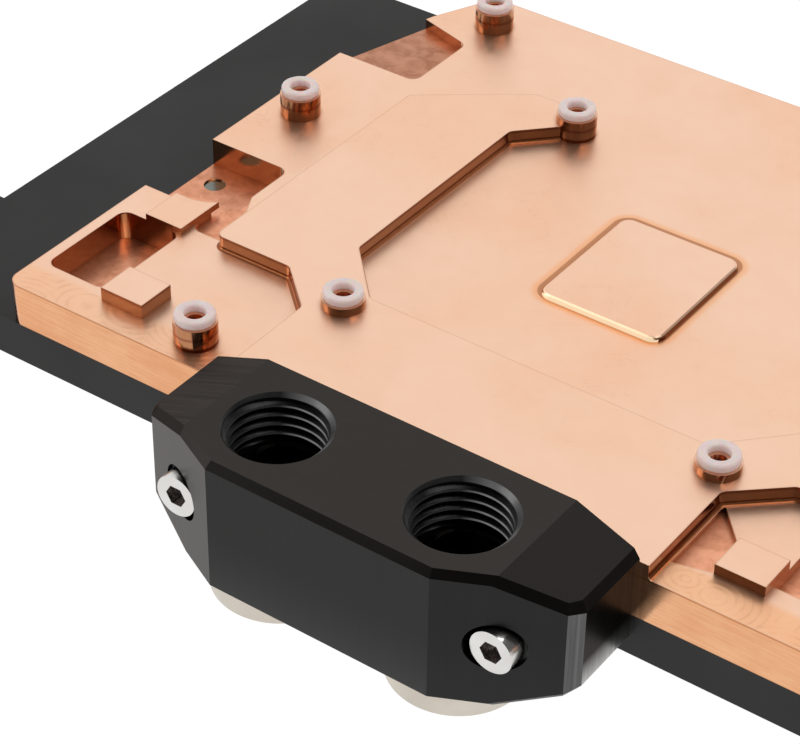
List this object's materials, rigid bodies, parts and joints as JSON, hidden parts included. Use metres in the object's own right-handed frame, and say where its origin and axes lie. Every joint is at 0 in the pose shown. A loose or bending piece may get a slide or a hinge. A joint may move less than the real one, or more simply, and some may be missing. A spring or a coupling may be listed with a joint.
{
  "type": "gpu water block",
  "caption": "Full-cover liquid cooling block for a graphics card: milled copper cold plate with screw bosses and pockets, black cover, side terminal with threaded ports, seals, plugs, screws.",
  "frame": {"origin": "centre of the square of four screw bosses round the processor, on the plane of the boss tops", "axes": "+Z points at the card's board, +X runs along the port terminal, +Y from the terminal across the cold plate to the far edge"},
  "size_m": [0.1591, 0.1162, 0.0228],
  "materials": {
    "copper": "bare copper, milled and satin, warm pinkish orange",
    "cover_black": "matte black acetal",
    "terminal_black": "black acetal with a fine satin milled face",
    "spacer_nylon": "translucent white nylon",
    "screw_steel": "bright stainless steel",
    "plug_nickel": "satin nickel plate",
    "seal_rubber": "black nitrile rubber"
  },
  "bodies": {
    "root": {"cold_plate": "copper", "cover": "cover_black", "main_seal": "seal_rubber", "terminal_block": "terminal_black", "passage_seal_left": "seal_rubber", "passage_seal_right": "seal_rubber", "plug_left": "plug_nickel", "plug_right": "plug_nickel", "plug_seal_left": "seal_rubber", "plug_seal_right": "seal_rubber", "cover_screws": "screw_steel", "terminal_screws": "screw_steel", "spacer_gpu_near_left": "spacer_nylon", "spacer_gpu_far_left": "spacer_nylon", "spacer_gpu_near_right": "spacer_nylon", "spacer_gpu_far_right": "spacer_nylon", "spacer_board_left": "spacer_nylon", "spacer_board_far_left": "spacer_nylon", "spacer_board_near_left": "spacer_nylon", "spacer_board_right": "spacer_nylon", "spacer_board_far_right": "spacer_nylon"}
  },
  "joints": []
}
